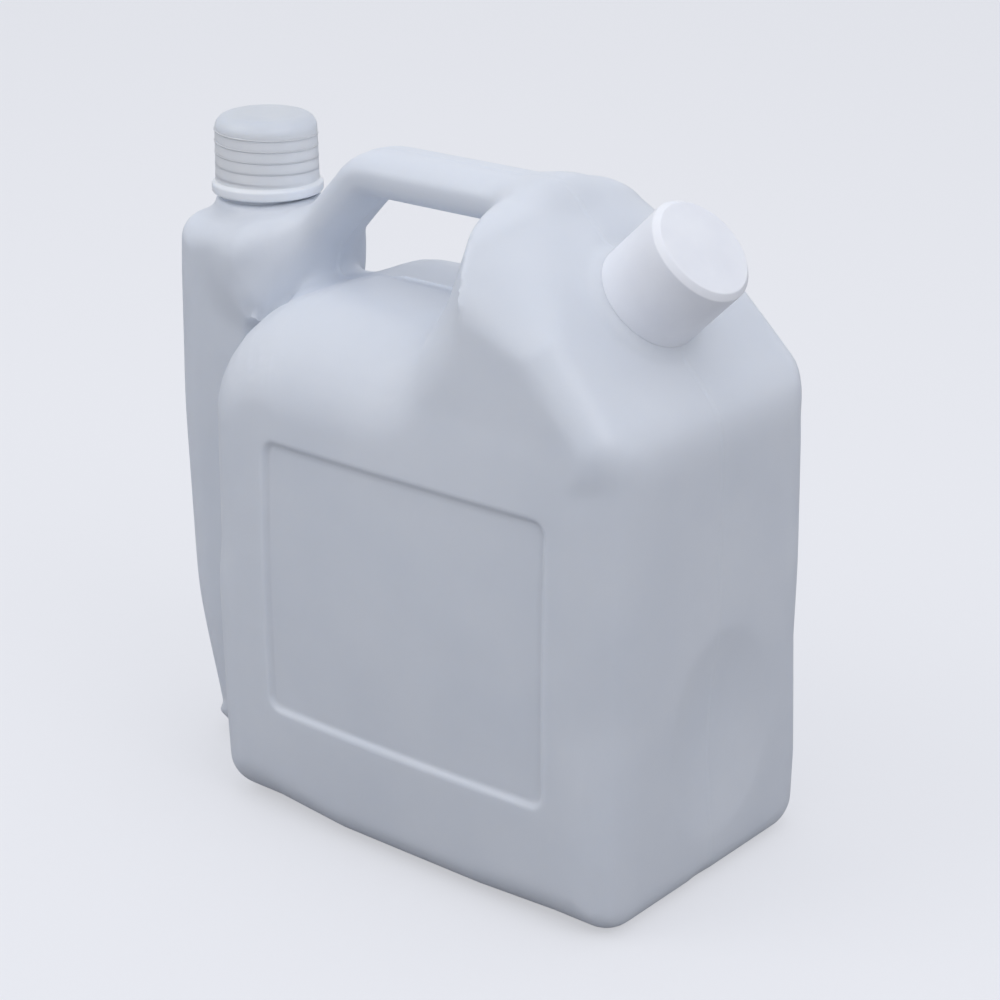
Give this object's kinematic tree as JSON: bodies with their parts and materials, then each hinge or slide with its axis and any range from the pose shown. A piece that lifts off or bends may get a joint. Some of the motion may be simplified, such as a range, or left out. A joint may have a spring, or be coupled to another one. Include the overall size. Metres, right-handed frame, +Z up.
{
  "type": "fuel mixing bottle",
  "caption": "Blow-moulded twin-chamber fuel mixing bottle with a slanted pouring spout, an upright oil neck, screw caps and a hollow carrying handle.",
  "frame": {"origin": "middle of the fuel tank's foot, on the surface it stands on and on the moulding's parting plane", "axes": "+Z up, +X from the oil chamber towards the pouring spout, Y across the bottle's depth"},
  "size_m": [0.2426, 0.1314, 0.2499],
  "materials": {
    "natural_hdpe": "translucent natural polyethylene, satin, blow moulded",
    "white_cap": "opaque white polypropylene, smooth",
    "natural_cap": "translucent natural polyethylene, fine helical ridges",
    "foam_liner": "pressed foam sealing disc"
  },
  "bodies": {
    "bottle": {"bottle": "natural_hdpe"},
    "fuel_cap_liner": {"fuel_cap_liner": "foam_liner"},
    "fuel_cap": {"fuel_cap": "white_cap"},
    "oil_cap_liner": {"oil_cap_liner": "foam_liner"},
    "oil_cap": {"oil_cap": "natural_cap"}
  },
  "joints": [
    {"name": "fuel_cap_lift", "type": "slide", "parent": "bottle", "child": "fuel_cap_liner", "axis": [0.7193, 0, 0.6947], "range_m": [0, 0.0234]},
    {"name": "fuel_cap_turn", "type": "hinge", "parent": "fuel_cap_liner", "child": "fuel_cap", "pos_m": [0.06246, 0, 0.21129], "axis": [0.7193, 0, 0.6947], "range_deg": [0, 1980]},
    {"name": "oil_cap_lift", "type": "slide", "parent": "bottle", "child": "oil_cap_liner", "axis": [0, 0, 1], "range_m": [0, 0.0234]},
    {"name": "oil_cap_turn", "type": "hinge", "parent": "oil_cap_liner", "child": "oil_cap", "pos_m": [-0.1155, 0, 0.2203], "axis": [0, 0, 1], "range_deg": [0, 1980]}
  ],
  "couplings": [
    {"joint": "fuel_cap_lift", "follows": "fuel_cap_turn", "m_per_rad": 0.00067323},
    {"joint": "oil_cap_lift", "follows": "oil_cap_turn", "m_per_rad": 0.00067323}
  ]
}
